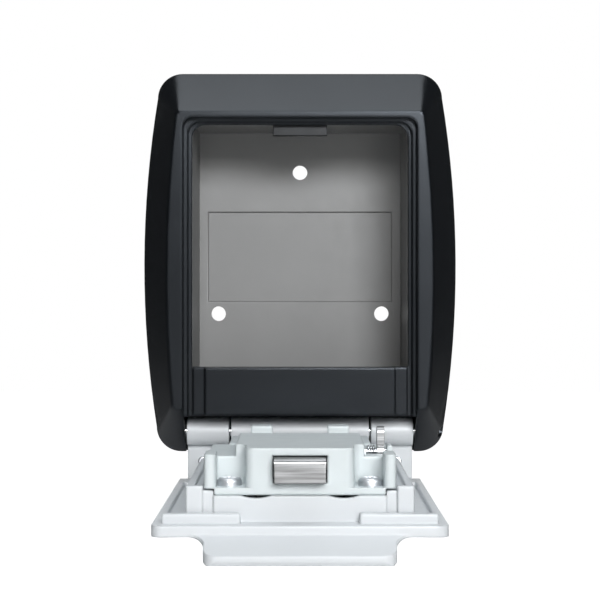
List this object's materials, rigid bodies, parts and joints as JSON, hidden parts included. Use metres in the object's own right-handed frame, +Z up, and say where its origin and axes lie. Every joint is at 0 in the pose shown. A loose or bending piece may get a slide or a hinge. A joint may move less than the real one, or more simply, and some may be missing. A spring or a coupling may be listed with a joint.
{
  "type": "wall key safe",
  "caption": "Wall-mounted key safe with a black moulded jacket and a bottom-hinged cast door that holds dials, latch and release.",
  "frame": {"origin": "on the back face that lies on the wall, midway across the jacket and 1 mm above the middle of its height", "axes": "+X to the right, +Z up, +Y into the wall; the door is folded down and reaches towards -Y"},
  "size_m": [0.1006, 0.142, 0.1395],
  "materials": {
    "black_moulding": "satin, finely grained",
    "case_metal": "satin grey coating",
    "dark_screw": "black zinc",
    "dark_steel": "blackened",
    "bright_steel": "bright plated",
    "brushed_steel": "brushed along the bolt",
    "grey_casting": "powder coated, satin",
    "zinc_plate": "zinc plated",
    "black_plastic": "satin",
    "dial_metal": "satin black with pale digits",
    "sleeve_brass": "machined"
  },
  "bodies": {
    "root": {"jacket": "black_moulding", "inner_case": "case_metal", "jacket_screws": "dark_screw", "sill_panel": "black_moulding", "strike_plate": "dark_steel", "hinge_pin": "bright_steel"},
    "door": {"door_shell": "grey_casting", "mechanism_cover": "grey_casting", "latch_spring": "bright_steel", "dial_axle": "bright_steel", "detent_spring": "bright_steel", "leaf_screws": "bright_steel", "lever_pin": "bright_steel", "lever_spring": "bright_steel", "cover_screws": "bright_steel", "side_screws": "bright_steel"},
    "latch": {"latch_bolt": "brushed_steel", "lock_plate": "zinc_plate"},
    "release": {"release_slide": "black_plastic"},
    "lever": {"change_lever": "bright_steel"},
    "shutter": {"shutter": "black_plastic"},
    "dial_1": {"dial_1": "dial_metal", "code_sleeve_1": "sleeve_brass"},
    "dial_2": {"dial_2": "dial_metal", "code_sleeve_2": "sleeve_brass"},
    "dial_3": {"dial_3": "dial_metal", "code_sleeve_3": "sleeve_brass"},
    "dial_4": {"dial_4": "dial_metal", "code_sleeve_4": "sleeve_brass"}
  },
  "joints": [
    {"name": "door_hinge", "type": "hinge", "parent": "root", "child": "door", "pos_m": [0, -0.031, -0.05535], "axis": [-1, 0, 0], "range_deg": [0, 90]},
    {"name": "latch_slide", "type": "slide", "parent": "door", "child": "latch", "axis": [0, 1, 0], "range_m": [0, 0.005], "stiffness_N_per_m": 400, "springref_m": -0.004, "deforming": ["latch_spring"]},
    {"name": "release_travel", "type": "slide", "parent": "door", "child": "release", "axis": [0, 1, 0], "range_m": [0, 0.005]},
    {"name": "lever_pivot", "type": "hinge", "parent": "door", "child": "lever", "pos_m": [0.0223, -0.103, -0.05435], "axis": [-1, 0, 0], "range_deg": [0, 30], "stiffness_Nm_per_rad": 0.02, "springref_deg": -11.46},
    {"name": "shutter_slide", "type": "slide", "parent": "door", "child": "shutter", "axis": [0, 1, 0], "range_m": [0, 0.025]},
    {"name": "dial_1_turn", "type": "hinge", "parent": "door", "child": "dial_1", "pos_m": [-0.01425, -0.0698, -0.06575], "axis": [1, 0, 0], "continuous": true},
    {"name": "dial_2_turn", "type": "hinge", "parent": "door", "child": "dial_2", "pos_m": [-0.00475, -0.0698, -0.06575], "axis": [1, 0, 0], "continuous": true},
    {"name": "dial_3_turn", "type": "hinge", "parent": "door", "child": "dial_3", "pos_m": [0.00475, -0.0698, -0.06575], "axis": [1, 0, 0], "continuous": true},
    {"name": "dial_4_turn", "type": "hinge", "parent": "door", "child": "dial_4", "pos_m": [0.01425, -0.0698, -0.06575], "axis": [1, 0, 0], "continuous": true}
  ],
  "couplings": [
    {"joint": "latch_slide", "follows": "release_travel", "ratio": 1}
  ]
}
